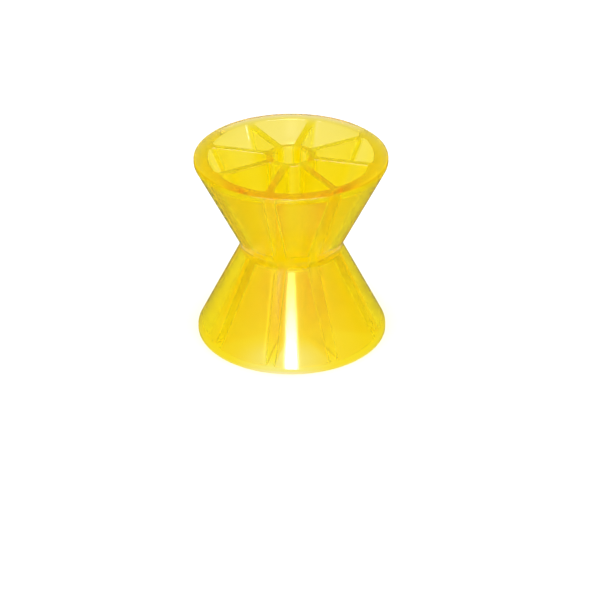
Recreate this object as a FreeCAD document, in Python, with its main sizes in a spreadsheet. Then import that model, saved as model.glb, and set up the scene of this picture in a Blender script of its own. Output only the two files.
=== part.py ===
"""Boat trailer bow roller: one hourglass moulding in clear amber-yellow rubber.

Two cones meet at a waist. Each end is cored out into deep pockets between radial
ribs, which tie a central hub to the cone wall. A solid web at mid-length closes both
rings of pockets, and a plain bore for the axle runs through the hub.
The bore lies along +Z, and the origin is on the bore at mid-length.
"""

import FreeCAD
import Part
import Sketcher
import math
import os

TOLERANCE = 1e-4
SKETCH_ORIGIN = (-1, 1)
SKETCH_X_AXIS = -1
SKETCH_Y_AXIS = -2

# Name, millimetres or degrees, and what it measures.
SIZES = [
    ("length", 76.2, "end face to end face, along the bore"),
    ("rim_diameter", 75.0, "largest diameter, round each rim"),
    ("neck_diameter", 39.1, "where the two cones would meet without the waist's radius"),
    ("rim_band", 2.1, "height of the straight band round each rim"),
    ("rim_width", 5.6, "end face of the rim, from its outside to the pockets"),
    ("wall_root", 5.0, "cone wall level with the pocket's floor, square to the bore"),
    ("bore_diameter", 13.0, "clearance hole for a half inch axle"),
    ("hub_diameter", 19.6, "hub at the end face"),
    ("web_thickness", 8.0, "solid web between the two rings of pockets"),
    ("rib_thickness", 3.2, "rib at the end face"),
    ("rib_count", 8, "ribs at each end"),
    ("rib_angle", 30.0, "first rib, turned from +X"),
    ("draft_angle", 0.5, "taper of the ribs and the hub, so that the core pulls out"),
    ("neck_round", 4.0, "radius in the waist"),
    ("rim_round", 0.7, "radius on the rim's outer edge"),
    ("band_round", 1.4, "radius from the band into the cone"),
    ("corner_round", 1.2, "radius in the pocket's upright corners"),
    ("mouth_round", 0.7, "radius round the pocket's mouth"),
    ("floor_round", 0.9, "radius round the pocket's floor"),
    ("bore_chamfer", 0.8, "chamfer at each end of the bore"),
]

# Formulas on the sheet's cells that more than one sketch needs.
POCKET_DEPTH = "(sheet.length - sheet.web_thickness) / 2"
DRAFT_AT_FLOOR = f"({POCKET_DEPTH}) * tan(sheet.draft_angle * 1deg)"
CONE_SLOPE = "(sheet.rim_diameter - sheet.neck_diameter) / (sheet.length - 2 * sheet.rim_band)"
CONE_AT_FLOOR = f"(sheet.neck_diameter + {CONE_SLOPE} * sheet.web_thickness) / 2"


def make_sheet(doc):
    """Writes the driving dimensions, one row each: name, value, meaning."""
    sheet = doc.addObject("Spreadsheet::Sheet", "sheet")
    for row, (name, value, meaning) in enumerate(SIZES, start=1):
        sheet.set(f"A{row}", name)
        sheet.set(f"B{row}", str(value))
        sheet.set(f"C{row}", meaning)
        sheet.setAlias(f"B{row}", name)
    doc.recompute()
    return sheet


def origin_feature(body, role):
    """The body's own plane or axis of that role."""
    return next(f for f in body.Origin.OriginFeatures if f.Role == role)


def new_sketch(body, name, plane):
    """An empty sketch on one of the body's origin planes."""
    sketch = body.newObject("Sketcher::SketchObject", name)
    sketch.AttachmentSupport = [(origin_feature(body, plane), "")]
    sketch.MapMode = "FlatFace"
    return sketch


def bind(sketch, name, kind, *where, value, formula):
    """Adds a named dimension and ties it to the sheet."""
    index = sketch.addConstraint(Sketcher.Constraint(kind, *where, value))
    sketch.renameConstraint(index, name)
    sketch.setExpression(f"Constraints.{name}", formula)


def hold_point(sketch, name, vertex, kind, distance, formula):
    """Holds a line's or an arc's end at a signed distance from the origin along one sketch axis."""
    if abs(distance) < TOLERANCE:
        axis = SKETCH_Y_AXIS if kind == "DistanceX" else SKETCH_X_AXIS
        sketch.addConstraint(Sketcher.Constraint("PointOnObject", *vertex, axis))
        return
    ends = (*SKETCH_ORIGIN, *vertex) if distance > 0 else (*vertex, *SKETCH_ORIGIN)
    bind(sketch, name, kind, *ends, value=abs(distance), formula=formula)


def draw_spool_section(body, sheet):
    """Half of the spool's section: bore, end faces, rim bands and the two cones."""
    end = sheet.length / 2
    band = end - sheet.rim_band
    bore = (sheet.bore_diameter / 2, "sheet.bore_diameter / 2")
    rim = (sheet.rim_diameter / 2, "sheet.rim_diameter / 2")
    neck = (sheet.neck_diameter / 2, "sheet.neck_diameter / 2")
    to_end = "sheet.length / 2"
    to_band = "sheet.length / 2 - sheet.rim_band"
    corners = [
        ("foot_bore", bore, -end, to_end),
        ("foot_rim", rim, -end, to_end),
        ("foot_band", rim, -band, to_band),
        ("neck", neck, 0.0, ""),
        ("head_band", rim, band, to_band),
        ("head_rim", rim, end, to_end),
        ("head_bore", bore, end, to_end),
    ]
    sketch = new_sketch(body, "spool_section", "XZ_Plane")
    points = [FreeCAD.Vector(radius, height, 0) for _, (radius, _), height, _ in corners]
    for i, start in enumerate(points):
        stop = points[(i + 1) % len(points)]
        sketch.addGeometry(Part.LineSegment(start, stop))
    for i in range(len(points)):
        following = (i + 1) % len(points)
        sketch.addConstraint(Sketcher.Constraint("Coincident", i, 2, following, 1))
    for i, (name, (radius, radius_formula), height, height_formula) in enumerate(corners):
        hold_point(sketch, f"{name}_radius", (i, 1), "DistanceX", radius, radius_formula)
        hold_point(sketch, f"{name}_height", (i, 1), "DistanceY", height, height_formula)
    return sketch


def circle_edges(shape, radius, height):
    """Names of the full circles of that radius round the bore's axis, at both ends or the middle."""
    found = []
    for i, edge in enumerate(shape.Edges, start=1):
        circle = edge.Curve
        if not isinstance(circle, Part.Circle):
            continue
        off_axis = math.hypot(circle.Center.x, circle.Center.y)
        off_level = abs(abs(circle.Center.z) - height)
        off_radius = abs(circle.Radius - radius)
        if max(off_axis, off_level, off_radius) < TOLERANCE:
            found.append(f"Edge{i}")
    return found


def dress(body, kind, name, edges, size, formula):
    """Rounds or chamfers those edges of the body as it stands."""
    base = body.Tip
    feature = body.newObject(f"PartDesign::{kind}", name)
    feature.Base = (base, edges)
    feature.setExpression(size, formula)
    body.Tip = feature
    body.Document.recompute()


def make_spool(body, sheet):
    """The solid hourglass with its bore, its edges rounded."""
    sketch = draw_spool_section(body, sheet)
    spool = body.newObject("PartDesign::Revolution", "spool")
    spool.Profile = sketch
    spool.ReferenceAxis = (sketch, ["V_Axis"])
    spool.Angle = 360
    body.Document.recompute()

    end = sheet.length / 2
    rim = sheet.rim_diameter / 2
    neck_edge = circle_edges(body.Tip.Shape, sheet.neck_diameter / 2, 0)
    dress(body, "Fillet", "neck_rounding", neck_edge, "Radius", "sheet.neck_round")
    shoulders = circle_edges(body.Tip.Shape, rim, end - sheet.rim_band)
    dress(body, "Fillet", "band_rounding", shoulders, "Radius", "sheet.band_round")
    rims = circle_edges(body.Tip.Shape, rim, end)
    dress(body, "Fillet", "rim_rounding", rims, "Radius", "sheet.rim_round")
    bore_mouths = circle_edges(body.Tip.Shape, sheet.bore_diameter / 2, end)
    dress(body, "Chamfer", "bore_chamfers", bore_mouths, "Size", "sheet.bore_chamfer")


def draw_pocket_section(body, name, sheet, height, hub, wall, half_rib):
    """A pocket's outline square to the bore: a sector between two ribs, with round corners.

    The sketch's X axis runs along the middle of the pocket. height, hub, wall and
    half_rib are (value, formula) pairs: the section's level, the radii of the hub and
    of the cone wall there, and half of the rib's thickness.
    """
    corner = sheet.corner_round
    turn = math.pi / sheet.rib_count
    sketch = new_sketch(body, name, "XY_Plane")
    sketch.setExpression("AttachmentOffset.Base.z", height[1])
    sketch.setExpression(
        "AttachmentOffset.Rotation.Angle", "(sheet.rib_angle + 180 / sheet.rib_count) * 1deg"
    )

    def beside_rib(along, off, side):
        """A point so far along the rib and off its middle plane. side is 1 or -1 for the two ribs."""
        x = along * math.cos(turn) + off * math.sin(turn)
        y = along * math.sin(turn) - off * math.cos(turn)
        return FreeCAD.Vector(x, side * y, 0)

    off = half_rib[0] + corner
    near = math.sqrt((hub[0] + corner) ** 2 - off**2)
    far = math.sqrt((wall[0] - corner) ** 2 - off**2)
    pieces = []

    def add_arc(centre, start, stop):
        """The short way round from start to stop."""
        chord_middle = (start + stop) * 0.5
        outward = (chord_middle - centre).normalize()
        middle = centre + outward * (start - centre).Length
        pieces.append(Part.Arc(start, middle, stop))

    origin = FreeCAD.Vector(0, 0, 0)
    hub_ends = []
    wall_ends = []
    for side in (1, -1):
        near_centre = beside_rib(near, off, side)
        far_centre = beside_rib(far, off, side)
        on_hub = near_centre * (hub[0] / (hub[0] + corner))
        on_wall = far_centre * (wall[0] / (wall[0] - corner))
        rib_start = beside_rib(near, half_rib[0], side)
        rib_stop = beside_rib(far, half_rib[0], side)
        add_arc(near_centre, on_hub, rib_start)
        pieces.append(Part.LineSegment(rib_start, rib_stop))
        add_arc(far_centre, rib_stop, on_wall)
        hub_ends.append(on_hub)
        wall_ends.append(on_wall)
    add_arc(origin, *hub_ends)
    add_arc(origin, *wall_ends)
    for piece in pieces:
        sketch.addGeometry(piece)
    left_near, left_rib, left_far, right_near, right_rib, right_far, hub_arc, wall_arc = range(8)

    def join(first, second):
        """Makes two pieces tangent where their ends meet."""
        meeting = min(
            ((a, b) for a in (1, 2) for b in (1, 2)),
            key=lambda ab: sketch.getPoint(first, ab[0]).distanceToPoint(
                sketch.getPoint(second, ab[1])
            ),
        )
        ends = (first, meeting[0], second, meeting[1])
        sketch.addConstraint(Sketcher.Constraint("Tangent", *ends))

    ring = [hub_arc, left_near, left_rib, left_far, wall_arc, right_far, right_rib, right_near]
    for i, piece in enumerate(ring):
        join(piece, ring[(i + 1) % len(ring)])
    for arc in (hub_arc, wall_arc):
        sketch.addConstraint(Sketcher.Constraint("Coincident", arc, 3, *SKETCH_ORIGIN))
    for arc in (left_far, right_near, right_far):
        sketch.addConstraint(Sketcher.Constraint("Equal", left_near, arc))
    bind(sketch, "hub", "Radius", hub_arc, value=hub[0], formula=hub[1])
    bind(sketch, "wall", "Radius", wall_arc, value=wall[0], formula=wall[1])
    bind(sketch, "corner", "Radius", left_near, value=corner, formula="sheet.corner_round")
    for side, label, rib in ((1, "left", left_rib), (-1, "right", right_rib)):
        half = "180deg / sheet.rib_count" if side > 0 else "-180deg / sheet.rib_count"
        bind(sketch, f"{label}_turn", "Angle", rib, value=side * turn, formula=half)
        where = (*SKETCH_ORIGIN, rib)
        bind(sketch, f"{label}_half", "Distance", *where, value=half_rib[0], formula=half_rib[1])
    return sketch


def make_pockets(body, sheet):
    """Cores out both ends: one tapered pocket, repeated round the bore and mirrored."""
    depth = (sheet.length - sheet.web_thickness) / 2
    draft = depth * math.tan(math.radians(sheet.draft_angle))
    slope = (sheet.rim_diameter - sheet.neck_diameter) / (sheet.length - 2 * sheet.rim_band)
    cone_at_floor = (sheet.neck_diameter + slope * sheet.web_thickness) / 2
    mouth = draw_pocket_section(
        body,
        "pocket_mouth",
        sheet,
        height=(sheet.length / 2, "sheet.length / 2"),
        hub=(sheet.hub_diameter / 2, "sheet.hub_diameter / 2"),
        wall=(sheet.rim_diameter / 2 - sheet.rim_width, "sheet.rim_diameter / 2 - sheet.rim_width"),
        half_rib=(sheet.rib_thickness / 2, "sheet.rib_thickness / 2"),
    )
    floor = draw_pocket_section(
        body,
        "pocket_floor",
        sheet,
        height=(sheet.web_thickness / 2, "sheet.web_thickness / 2"),
        hub=(sheet.hub_diameter / 2 + draft, f"sheet.hub_diameter / 2 + {DRAFT_AT_FLOOR}"),
        wall=(cone_at_floor - sheet.wall_root, f"{CONE_AT_FLOOR} - sheet.wall_root"),
        half_rib=(sheet.rib_thickness / 2 + draft, f"sheet.rib_thickness / 2 + {DRAFT_AT_FLOOR}"),
    )
    pocket = body.newObject("PartDesign::SubtractiveLoft", "pocket")
    pocket.Profile = mouth
    pocket.Sections = [floor]
    pocket.Ruled = True
    body.Document.recompute()

    pockets = body.newObject("PartDesign::MultiTransform", "pockets")
    pockets.Originals = [pocket]
    around = body.newObject("PartDesign::PolarPattern", "pockets_around")
    around.Axis = (origin_feature(body, "Z_Axis"), [""])
    around.Angle = 360
    around.setExpression("Occurrences", "sheet.rib_count")
    both_ends = body.newObject("PartDesign::Mirrored", "pockets_both_ends")
    both_ends.MirrorPlane = (origin_feature(body, "XY_Plane"), [""])
    pockets.Transformations = [around, both_ends]
    body.Tip = pockets
    body.Document.recompute()


def pocket_edges(shape, height, inner, outer):
    """Names of the edges of all pockets at that level, up or down."""
    found = []
    for i, edge in enumerate(shape.Edges, start=1):
        levels = [abs(abs(vertex.Z) - height) for vertex in edge.Vertexes]
        reach = [math.hypot(vertex.X, vertex.Y) for vertex in edge.Vertexes]
        between = min(reach) > inner - TOLERANCE and max(reach) < outer + TOLERANCE
        if max(levels) < TOLERANCE and between:
            found.append(f"Edge{i}")
    return found


def round_pockets(body, sheet):
    """Rounds each pocket's mouth and floor."""
    hub = sheet.hub_diameter / 2
    wall = sheet.rim_diameter / 2 - sheet.rim_width
    mouths = pocket_edges(body.Tip.Shape, sheet.length / 2, hub, wall)
    dress(body, "Fillet", "mouth_rounding", mouths, "Radius", "sheet.mouth_round")
    floors = pocket_edges(body.Tip.Shape, sheet.web_thickness / 2, hub, wall)
    dress(body, "Fillet", "floor_rounding", floors, "Radius", "sheet.floor_round")


def make_roller(doc, sheet):
    """The whole moulding, as one body."""
    body = doc.addObject("PartDesign::Body", "roller")
    body.Label = "roller"
    body.Placement = FreeCAD.Placement()
    make_spool(body, sheet)
    make_pockets(body, sheet)
    round_pockets(body, sheet)
    return body


def check_document(doc, bodies):
    """Stops if anything failed to build."""
    for item in doc.Objects:
        bad = {"Invalid", "Error"} & set(item.State)
        if bad:
            raise RuntimeError(f"{item.Label} is {', '.join(sorted(bad))}")
    for body in bodies:
        if body.Shape.isNull() or not body.Shape.isValid():
            raise RuntimeError(f"{body.Label} has no valid shape")
        if len(body.Shape.Solids) != 1:
            raise RuntimeError(f"{body.Label} holds {len(body.Shape.Solids)} solids, not one")


doc = FreeCAD.newDocument("boat_trailer_roller")
sheet = make_sheet(doc)
bodies = [make_roller(doc, sheet)]
doc.recompute()
check_document(doc, bodies)

os.makedirs("parts", exist_ok=True)
for body in bodies:
    body.Shape.exportStep(f"parts/{body.Label}.step")
    print(f"{body.Label}: {body.Shape.Volume / 1000:.1f} cm3")
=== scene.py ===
"""Looks of the boat trailer roller: a clear amber moulding on a white table.

The roller stands on its end, with its centre at the frame's origin. Lengths are in metres.
"""
import math

import bpy
from mathutils import Matrix, Vector


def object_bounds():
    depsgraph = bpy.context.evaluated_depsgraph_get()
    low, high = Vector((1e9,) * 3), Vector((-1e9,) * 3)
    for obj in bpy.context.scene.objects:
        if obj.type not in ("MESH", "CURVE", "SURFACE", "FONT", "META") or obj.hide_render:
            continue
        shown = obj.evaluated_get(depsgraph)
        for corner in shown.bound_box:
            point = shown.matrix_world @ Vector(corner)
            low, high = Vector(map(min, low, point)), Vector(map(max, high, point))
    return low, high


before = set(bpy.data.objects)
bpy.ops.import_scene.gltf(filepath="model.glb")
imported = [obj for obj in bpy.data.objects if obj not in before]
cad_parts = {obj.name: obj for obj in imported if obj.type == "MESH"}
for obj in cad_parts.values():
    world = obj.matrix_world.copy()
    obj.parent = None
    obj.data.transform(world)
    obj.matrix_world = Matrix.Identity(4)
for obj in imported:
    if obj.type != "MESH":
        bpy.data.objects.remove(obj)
cad_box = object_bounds()

MM = 0.001
WHITE = (1, 1, 1, 1)

# The photograph's camera: a long lens in front, a little above the roller. Pixels are those of the
# photograph, and the sensor's width is in millimetres.
FRAME_WIDTH = 600
SENSOR_WIDTH = 36.0
FOCAL_PIXELS = 2183.0
CAMERA_DISTANCE = 858 * MM
CAMERA_ELEVATION = math.radians(28.67)
CAMERA_ROLL = math.radians(-0.31)
ROLLER_CENTRE_PIXEL = (291.75, 241.9)
NEAR_CLIP = 10 * MM

# How white the room is to a ray that the roller's outside throws back: in front, behind, and the two
# values of the direction's Y between which it fades.
FRONT_GLOSS = 0.8
BACK_GLOSS = 0.1
GLOSS_FADE = (-1, 0.1)
# The same for the table: in general; on a painted bright patch, fully white, that the rim's band
# mirrors as a painted highlight;
# and close in front, a painted lighter area that the upper cone mirrors. Each pair of radii is where
# the fade starts and ends.
TABLE_GLOSS = 0.1
PAINTED_PATCH_PLACE = (-48 * MM, -190 * MM, 0)
PAINTED_PATCH_RADIUS = (45 * MM, 80 * MM)
PAINTED_NEAR_GLOSS = 0.3
PAINTED_NEAR_PLACE = (0, -60 * MM, 0)
PAINTED_NEAR_RADIUS = (30 * MM, 70 * MM)
# How white the room is to a diffuse ray.
DIFFUSE_SHARE = 0.8
# A ray's depth after one bounce: at a surface, and in the world, which counts one more.
SURFACE_BOUNCE = 1
WORLD_BOUNCE = 2

# The compound: what a wall's two faces and 5 mm of its stuff leave of the light.
WALL = 5 * MM
LEFT_BY_FACES = (0.95, 0.815, 1, 1)
LEFT_BY_STUFF = (0.999, 0.96, 0.19)
# The darkest channel of the colour that the stuff is given. Its density follows from that.
DARKEST = 0.02
IOR = 1.45
# The moulded skin: a faint ripple, with a roughness that varies with it.
RIPPLES_PER_METRE = 90
RIPPLE_DETAIL = 2
RIPPLE_STRENGTH = 0.03
RIPPLE_DEPTH = 0.3 * MM
ROUGHNESS = (0.11, 0.15)
# Past the first wall the moulding blurs into one amber. From this ray depth, each bounce adds this
# share of a surface that light passes unbent.
DEEP_START = 0.5
DEEP_RATE = 0.6
# Past this many faces the surface is a painted amber glow, in place of the light that would still get
# there.
MOST_FACES = 6.5
PAINTED_AMBER_GLOW = (1, 0.62, 0.03, 1)

TABLE_HALF = 3.0
TABLE_COLOUR = (0.85, 0.85, 0.85, 1)
# Painted amber light on the table under the roller, in place of the light that gets there through the
# compound.
PAINTED_UNDER_LIGHT = (1, 0.87, 0.07, 1)
PAINTED_UNDER_RADIUS = (34 * MM, 42 * MM)
# A painted pool of light in it, where the front lamp would light the table through the wall.
PAINTED_SPOT_PLACE = (-3 * MM, -28 * MM, 0)
PAINTED_SPOT_RADIUS = (2 * MM, 21 * MM)
# The soft lower face wets the table: it sinks in by a hair, with no air between.
CONTACT = 0.03 * MM


def look_at(place, target):
    """A pose at place that looks at target, with +Z up."""
    facing = (target - place).to_track_quat("-Z", "Y")
    return Matrix.Translation(place) @ facing.to_matrix().to_4x4()


def add_camera():
    """The photograph's viewpoint, aimed so that the roller falls where it does in the frame."""
    data = bpy.data.cameras.new("camera")
    data.sensor_width = SENSOR_WIDTH
    data.lens = FOCAL_PIXELS / FRAME_WIDTH * SENSOR_WIDTH
    data.clip_start = NEAR_CLIP
    camera = bpy.data.objects.new("camera", data)
    bpy.context.scene.collection.objects.link(camera)
    place = CAMERA_DISTANCE * Vector((0, -math.cos(CAMERA_ELEVATION), math.sin(CAMERA_ELEVATION)))
    right = math.atan((FRAME_WIDTH / 2 - ROLLER_CENTRE_PIXEL[0]) / FOCAL_PIXELS)
    down = math.atan((FRAME_WIDTH / 2 - ROLLER_CENTRE_PIXEL[1]) / FOCAL_PIXELS)
    aim = Matrix.Rotation(-right, 4, "Y") @ Matrix.Rotation(-down, 4, "X")
    aim = aim @ Matrix.Rotation(CAMERA_ROLL, 4, "Z")
    camera.matrix_world = look_at(place, Vector((0, 0, 0))) @ aim
    bpy.context.scene.camera = camera


def new_material(name):
    """A material with an empty node tree, and its tree."""
    material = bpy.data.materials.new(name)
    material.use_nodes = True
    material.node_tree.nodes.clear()
    return material, material.node_tree


def math_node(tree, operation, first, second):
    """A math node's result. Each input is a socket or a number."""
    node = tree.nodes.new("ShaderNodeMath")
    node.operation = operation
    for socket, value in zip(node.inputs, (first, second)):
        if isinstance(value, (int, float)):
            socket.default_value = value
        else:
            tree.links.new(value, socket)
    return node.outputs[0]


def greatest(tree, first, *others):
    """The greatest of several sockets and numbers."""
    for other in others:
        first = math_node(tree, "MAXIMUM", first, other)
    return first


def mixed(tree, share, first, second):
    """The first shader, with this share of the second in its place."""
    mix = tree.nodes.new("ShaderNodeMixShader")
    for socket, value in zip(mix.inputs, (share, first, second)):
        tree.links.new(value, socket)
    return mix.outputs["Shader"]


def clear_skin(tree):
    """The compound's surface: clear, with a faint ripple and a roughness that varies with it."""
    clear = tree.nodes.new("ShaderNodeBsdfPrincipled")
    clear.inputs["Base Color"].default_value = LEFT_BY_FACES
    clear.inputs["IOR"].default_value = IOR
    clear.inputs["Transmission Weight"].default_value = 1.0

    place = tree.nodes.new("ShaderNodeTexCoord")
    ripple = tree.nodes.new("ShaderNodeTexNoise")
    ripple.inputs["Scale"].default_value = RIPPLES_PER_METRE
    ripple.inputs["Detail"].default_value = RIPPLE_DETAIL
    tree.links.new(place.outputs["Object"], ripple.inputs["Vector"])

    bump = tree.nodes.new("ShaderNodeBump")
    bump.inputs["Strength"].default_value = RIPPLE_STRENGTH
    bump.inputs["Distance"].default_value = RIPPLE_DEPTH
    tree.links.new(ripple.outputs["Fac"], bump.inputs["Height"])
    tree.links.new(bump.outputs["Normal"], clear.inputs["Normal"])

    gloss = tree.nodes.new("ShaderNodeMapRange")
    gloss.inputs["To Min"].default_value, gloss.inputs["To Max"].default_value = ROUGHNESS
    tree.links.new(ripple.outputs["Fac"], gloss.inputs["Value"])
    tree.links.new(gloss.outputs["Result"], clear.inputs["Roughness"])
    return clear.outputs["BSDF"]


def unbent(tree, path):
    """A surface that light passes unbent. After too many of its faces it is a painted amber glow
    instead.
    """
    through = tree.nodes.new("ShaderNodeBsdfTransparent")
    # A painted amber glow, in place of the light that would still get this deep.
    painted_glow = tree.nodes.new("ShaderNodeEmission")
    painted_glow.inputs["Color"].default_value = PAINTED_AMBER_GLOW
    spent = math_node(tree, "GREATER_THAN", path.outputs["Transparent Depth"], MOST_FACES)
    return mixed(tree, spent, through.outputs["BSDF"], painted_glow.outputs["Emission"])


def absorption(tree):
    """What the compound takes out of the light along its way, most of it blue."""
    loss = [-math.log(left) / WALL for left in LEFT_BY_STUFF]
    density = max(loss) / (1 - DARKEST)
    volume = tree.nodes.new("ShaderNodeVolumeAbsorption")
    volume.inputs["Color"].default_value = (*[1 - part / density for part in loss], 1)
    volume.inputs["Density"].default_value = density
    return volume.outputs["Volume"]


def amber_material():
    """Amber polyurethane. It takes the blue out of light, and far walls melt into a painted amber glow.
    """
    material, tree = new_material("amber_polyurethane")
    path = tree.nodes.new("ShaderNodeLightPath")
    past = math_node(tree, "SUBTRACT", path.outputs["Ray Depth"], DEEP_START)
    share = math_node(tree, "MULTIPLY", past, DEEP_RATE)
    share.node.use_clamp = True
    surface = mixed(tree, share, clear_skin(tree), unbent(tree, path))
    output = tree.nodes.new("ShaderNodeOutputMaterial")
    tree.links.new(surface, output.inputs["Surface"])
    tree.links.new(absorption(tree), output.inputs["Volume"])
    return material


def whiteness(tree, path, one_bounce, gloss_share):
    """How white the surroundings look: less so to rays that come straight off the roller's outside.

    One_bounce is the ray's depth there after one bounce.
    """
    again = math_node(tree, "GREATER_THAN", path.outputs["Ray Depth"], one_bounce + 0.5)
    gloss = math_node(tree, "MULTIPLY", path.outputs["Is Glossy Ray"], gloss_share)
    seen = greatest(tree, path.outputs["Is Camera Ray"], path.outputs["Is Transmission Ray"])
    return greatest(tree, seen, again, gloss)


def white_world():
    """White where it is seen, and plain soft light for the rest."""
    world = bpy.data.worlds.new("studio")
    world.use_nodes = True
    bpy.context.scene.world = world
    tree = world.node_tree
    tree.nodes.clear()

    direction = tree.nodes.new("ShaderNodeTexCoord")
    axes = tree.nodes.new("ShaderNodeSeparateXYZ")
    tree.links.new(direction.outputs["Generated"], axes.inputs["Vector"])
    gloss = tree.nodes.new("ShaderNodeMapRange")
    gloss.inputs["From Min"].default_value, gloss.inputs["From Max"].default_value = GLOSS_FADE
    gloss.inputs["To Min"].default_value = FRONT_GLOSS
    gloss.inputs["To Max"].default_value = BACK_GLOSS
    tree.links.new(axes.outputs["Y"], gloss.inputs["Value"])

    path = tree.nodes.new("ShaderNodeLightPath")
    diffuse = math_node(tree, "MULTIPLY", path.outputs["Is Diffuse Ray"], DIFFUSE_SHARE)
    white = whiteness(tree, path, WORLD_BOUNCE, gloss.outputs["Result"])
    sky = tree.nodes.new("ShaderNodeBackground")
    sky.inputs["Color"].default_value = WHITE
    tree.links.new(greatest(tree, white, diffuse), sky.inputs["Strength"])
    output = tree.nodes.new("ShaderNodeOutputWorld")
    tree.links.new(sky.outputs["Background"], output.inputs["Surface"])


def off_spot(tree, place, centre, radii):
    """Nought within the first radius round the centre, one past the second, smooth between them."""
    reach = tree.nodes.new("ShaderNodeVectorMath")
    reach.operation = "DISTANCE"
    reach.inputs[1].default_value = centre
    tree.links.new(place, reach.inputs[0])
    fade = tree.nodes.new("ShaderNodeMapRange")
    fade.interpolation_type = "SMOOTHSTEP"
    fade.inputs["From Min"].default_value, fade.inputs["From Max"].default_value = radii
    tree.links.new(reach.outputs["Value"], fade.inputs["Value"])
    return fade.outputs["Result"]


def on_spot(tree, place, centre, radii):
    """One within the first radius round the centre, nought past the second, smooth between them."""
    return math_node(tree, "SUBTRACT", 1, off_spot(tree, place, centre, radii))


def painted_table_reflection(tree, place):
    """How white the table is to a ray that the roller's outside throws back, with painted bright
    patches that the roller mirrors as highlights.
    """
    # A painted bright patch for the rim band's highlight, and a painted lighter area in front for the
    # upper cone.
    patch = on_spot(tree, place, PAINTED_PATCH_PLACE, PAINTED_PATCH_RADIUS)
    near = math_node(tree, "MULTIPLY", on_spot(tree, place, PAINTED_NEAR_PLACE, PAINTED_NEAR_RADIUS), PAINTED_NEAR_GLOSS)
    return greatest(tree, patch, near, TABLE_GLOSS)


def table_glow_with_painted_light(tree, place):
    """The colour of the table's glow: white, with painted amber light under the roller, apart from a
    painted lit spot there.
    """
    # Painted amber light under the roller, and a painted pool of light from the front lamp in it.
    outside = off_spot(tree, place, (0, 0, 0), PAINTED_UNDER_RADIUS)
    spot = on_spot(tree, place, PAINTED_SPOT_PLACE, PAINTED_SPOT_RADIUS)
    tone = tree.nodes.new("ShaderNodeMix")
    tone.data_type = "RGBA"
    tone.inputs["A"].default_value = PAINTED_UNDER_LIGHT
    tone.inputs["B"].default_value = WHITE
    tree.links.new(greatest(tree, outside, spot), tone.inputs["Factor"])
    return tone.outputs["Result"]


def table_material():
    """Lit by the lamps where it is seen. To what the roller mirrors or lets through it glows, white
    with painted light and painted reflection patches.
    """
    material, tree = new_material("table")
    path = tree.nodes.new("ShaderNodeLightPath")
    place = tree.nodes.new("ShaderNodeTexCoord").outputs["Object"]
    lit = tree.nodes.new("ShaderNodeBsdfDiffuse")
    lit.inputs["Color"].default_value = TABLE_COLOUR
    glow = tree.nodes.new("ShaderNodeEmission")
    white = whiteness(tree, path, SURFACE_BOUNCE, painted_table_reflection(tree, place))
    tree.links.new(white, glow.inputs["Strength"])
    tree.links.new(table_glow_with_painted_light(tree, place), glow.inputs["Color"])
    seen = greatest(tree, path.outputs["Is Transmission Ray"], path.outputs["Is Glossy Ray"])
    surface = mixed(tree, seen, lit.outputs["BSDF"], glow.outputs["Emission"])
    output = tree.nodes.new("ShaderNodeOutputMaterial")
    tree.links.new(surface, output.inputs["Surface"])
    return material


def add_table():
    """The white table, which keeps the roller's shadow."""
    low, _ = cad_box
    corners = [(-1, -1), (1, -1), (1, 1), (-1, 1)]
    mesh = bpy.data.meshes.new("table")
    mesh.from_pydata([(TABLE_HALF * x, TABLE_HALF * y, 0) for x, y in corners], [], [(0, 1, 2, 3)])
    mesh.materials.append(table_material())
    table = bpy.data.objects.new("table", mesh)
    table.location.z = low[2] + CONTACT
    bpy.context.scene.collection.objects.link(table)


def softbox(name, azimuth, elevation, distance, width, height, watts):
    """A rectangular lamp aimed at the roller. Azimuth 0 is in front, and grows to the right.

    Both angles are in degrees.
    """
    data = bpy.data.lights.new(name, "AREA")
    data.shape = "RECTANGLE"
    data.size = width
    data.size_y = height
    data.energy = watts
    lamp = bpy.data.objects.new(name, data)
    turn = math.radians(azimuth)
    rise = math.radians(elevation)
    place = distance * Vector(
        (math.sin(turn) * math.cos(rise), -math.cos(turn) * math.cos(rise), math.sin(rise))
    )
    lamp.matrix_world = look_at(place, Vector((0, 0, 0)))
    bpy.context.scene.collection.objects.link(lamp)


add_camera()
white_world()
add_table()
# The lower cone mirrors the first lamp as its tall streak, which fades upwards in the second, and the
# third as a faint streak at the left. The last one lights the table.
softbox("front_strip", azimuth=-1, elevation=18.1, distance=1.19, width=0.29, height=0.108, watts=4.4)
softbox("front_fade", azimuth=-1, elevation=21.2, distance=1.19, width=0.29, height=0.02, watts=0.05)
softbox("left_window", azimuth=-25, elevation=24, distance=1.19, width=0.14, height=0.03, watts=0.3)
softbox("overhead", azimuth=0, elevation=87, distance=1.2, width=0.8, height=0.8, watts=12.5)

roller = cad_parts["roller"]
roller.data.materials.clear()
roller.data.materials.append(amber_material())

bpy.context.scene.view_settings.view_transform = "Standard"
